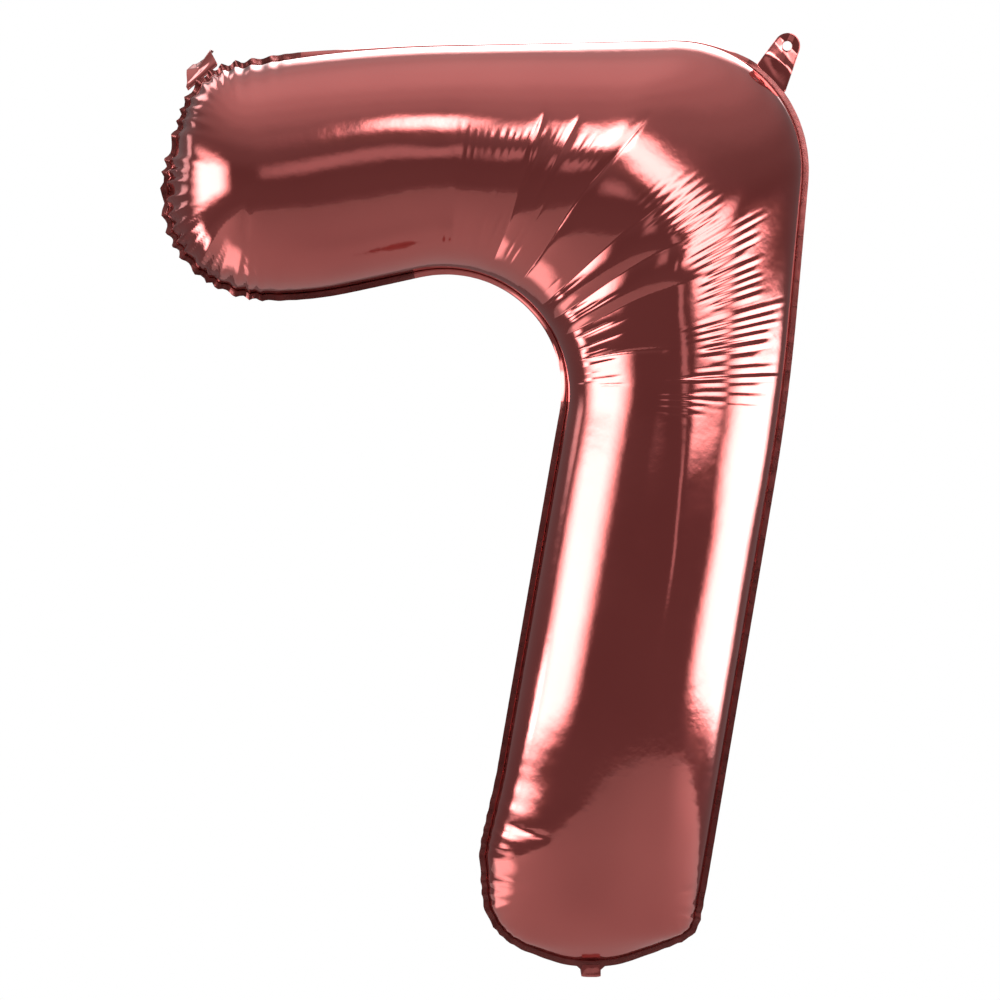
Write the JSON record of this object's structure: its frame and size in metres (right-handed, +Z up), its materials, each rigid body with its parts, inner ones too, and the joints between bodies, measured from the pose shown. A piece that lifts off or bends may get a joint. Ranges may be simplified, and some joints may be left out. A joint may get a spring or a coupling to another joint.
{
  "type": "foil number balloon",
  "caption": "Inflated foil balloon in the shape of the figure 7, with a welded rim, eyelet tabs on its upper corners to hang it by and a self-sealing inflation tail folded back under its leg.",
  "frame": {"origin": "on the seam's plane, midway between the eyelets of the two hanging tabs as seen from the front", "axes": "+X to the right as the figure is read, +Y from the front panel to the rear panel, +Z up"},
  "size_m": [0.6037, 0.2236, 0.8762],
  "materials": {
    "rose_foil": "polished",
    "welded_seam": "satin",
    "clear_valve_film": "gloss"
  },
  "bodies": {
    "balloon": {"front_foil_panel": "rose_foil", "rear_foil_panel": "rose_foil", "perimeter_heat_seal": "welded_seam", "valve_film_front": "clear_valve_film", "valve_film_rear": "clear_valve_film"},
    "inflation_tail": {"tail_front_layer": "rose_foil", "tail_rear_layer": "rose_foil", "tail_edge_seal": "welded_seam", "neck_valve_film_front": "clear_valve_film", "neck_valve_film_rear": "clear_valve_film"},
    "hanging_tab_left": {"hanging_tab_left": "rose_foil"},
    "hanging_tab_right": {"hanging_tab_right": "rose_foil"}
  },
  "joints": [
    {"name": "tail_fold", "type": "hinge", "parent": "balloon", "child": "inflation_tail", "pos_m": [0.0905, 0, -0.85867], "axis": [-1, 0, 0], "range_deg": [-15, 165]},
    {"name": "left_tab_fold", "type": "hinge", "parent": "balloon", "child": "hanging_tab_left", "pos_m": [-0.2731, 0, -0.02197], "axis": [0.7615, 0, 0.6481], "range_deg": [-10, 140], "stiffness_Nm_per_rad": 0.0005},
    {"name": "right_tab_fold", "type": "hinge", "parent": "balloon", "child": "hanging_tab_right", "pos_m": [0.25986, 0, -0.02462], "axis": [0.683, 0, -0.7305], "range_deg": [-75, 75], "stiffness_Nm_per_rad": 0.0005}
  ]
}
